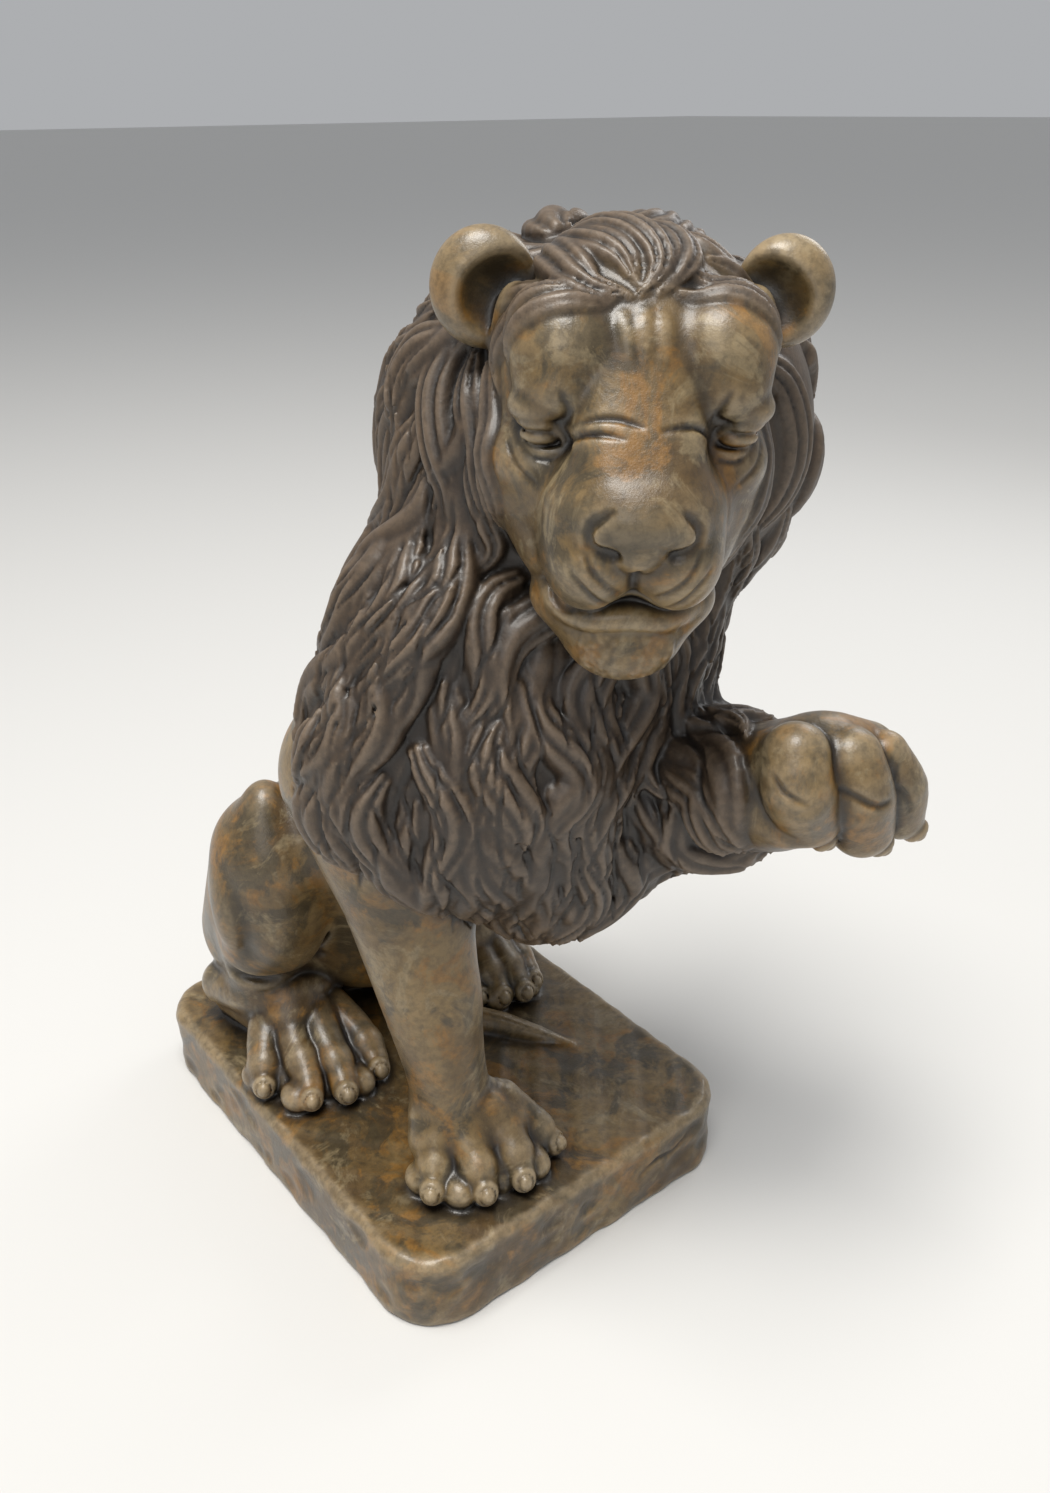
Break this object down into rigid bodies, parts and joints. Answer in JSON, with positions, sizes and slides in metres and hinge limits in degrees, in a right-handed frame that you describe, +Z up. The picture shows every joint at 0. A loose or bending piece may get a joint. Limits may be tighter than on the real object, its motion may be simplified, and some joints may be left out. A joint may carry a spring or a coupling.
{
  "type": "guardian lion statue",
  "caption": "Seated cast-stone guardian lion with a full mane, turned head and raised left forepaw, on a rectangular plinth; garden or doorway ornament.",
  "frame": {"origin": "centre of the plinth's underside, on the ground", "axes": "+Z up; the lion's body faces -Y, its left side is +X"},
  "size_m": [0.4277, 0.6412, 0.8654],
  "materials": {
    "plinth_stone": "cast stone, stained and sealed, satin",
    "body_stone": "cast stone, stained and sealed, satin",
    "mane_stone": "cast stone, stained and sealed, satin",
    "face_stone": "cast stone, stained and sealed, satin",
    "nose_stone": "cast stone, stained and sealed, satin",
    "eye_stone": "cast stone, stained and sealed, satin",
    "ear_stone": "cast stone, stained and sealed, satin",
    "leg_stone": "cast stone, stained and sealed, satin",
    "paw_stone": "cast stone, stained and sealed, satin",
    "nail_stone": "cast stone, stained and sealed, satin",
    "bar_steel": "black hot-rolled bar, lightly rusted"
  },
  "bodies": {
    "root": {"plinth": "plinth_stone", "hindquarters": "body_stone", "torso": "body_stone", "mane": "mane_stone", "head": "face_stone", "lower_jaw": "face_stone", "nose": "nose_stone", "eyes": "eye_stone", "right_ear": "ear_stone", "left_ear": "ear_stone", "right_hind_leg": "leg_stone", "left_hind_leg": "leg_stone", "right_hind_paw": "paw_stone", "left_hind_paw": "paw_stone", "standing_foreleg": "leg_stone", "standing_paw": "paw_stone", "raised_upper_arm": "mane_stone", "raised_forearm": "mane_stone", "raised_paw": "paw_stone", "tail": "leg_stone", "tail_tuft": "mane_stone", "standing_paw_nails": "nail_stone", "right_hind_nails": "nail_stone", "left_hind_nails": "nail_stone", "raised_paw_nails": "nail_stone", "plinth_bars": "bar_steel", "spine_bar": "bar_steel", "standing_leg_bar": "bar_steel", "raised_arm_bar": "bar_steel", "hind_leg_bars": "bar_steel"}
  },
  "joints": []
}
